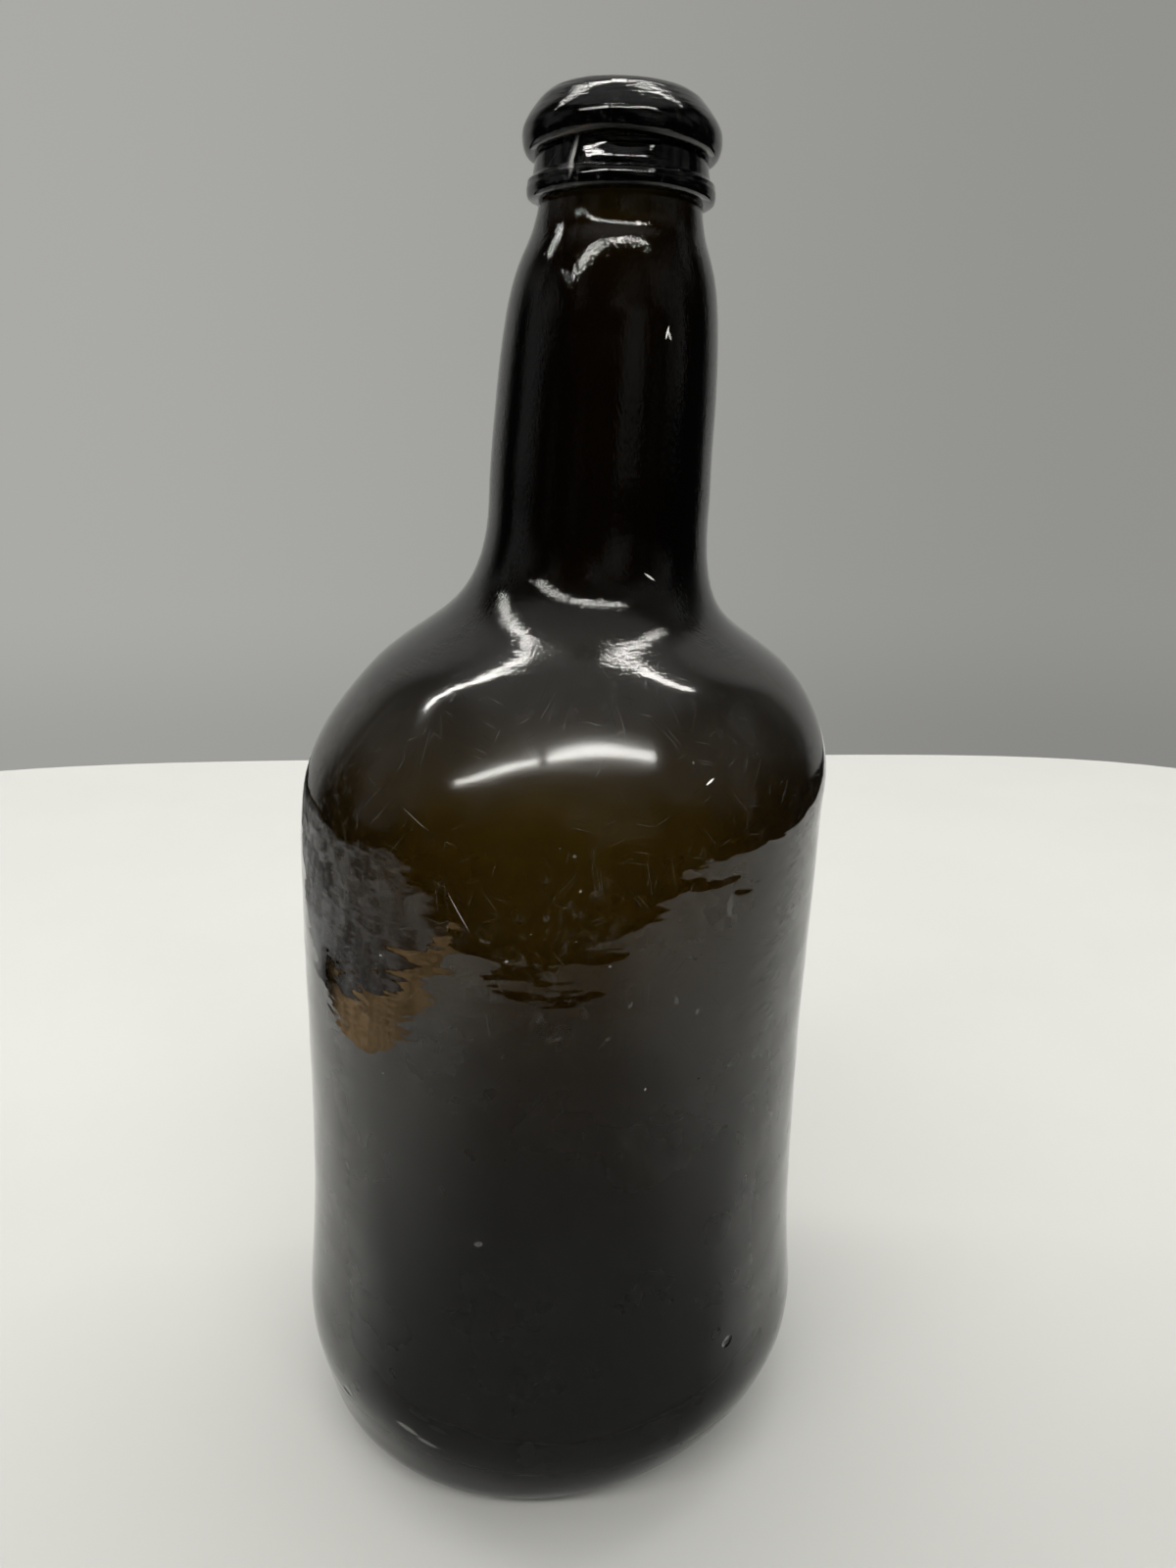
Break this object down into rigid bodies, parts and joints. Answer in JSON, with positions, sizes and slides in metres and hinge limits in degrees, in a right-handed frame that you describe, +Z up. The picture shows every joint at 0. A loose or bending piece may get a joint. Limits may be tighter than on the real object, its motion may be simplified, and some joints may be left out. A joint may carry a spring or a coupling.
{
  "type": "black glass bottle",
  "caption": "Free-blown dark olive glass bottle with a straight body, round shoulder, long slightly crooked neck, applied string rim and tooled lip.",
  "frame": {"origin": "on the surface the bottle stands on, under the middle of its outline", "axes": "+Z up through the bottle; the crooked neck leans towards +X; -Y is the side seen in the picture"},
  "size_m": [0.1058, 0.105, 0.2534],
  "materials": {
    "black_glass": "fire-polished, slightly wavy, with fine scratches and haze",
    "trail_glass": "fire-polished with tooling lines",
    "scar_glass": "rough broken edge"
  },
  "bodies": {
    "root": {"bottle_body": "black_glass", "string_rim": "trail_glass", "lip_collar": "trail_glass", "pontil_scar": "scar_glass"}
  },
  "joints": []
}
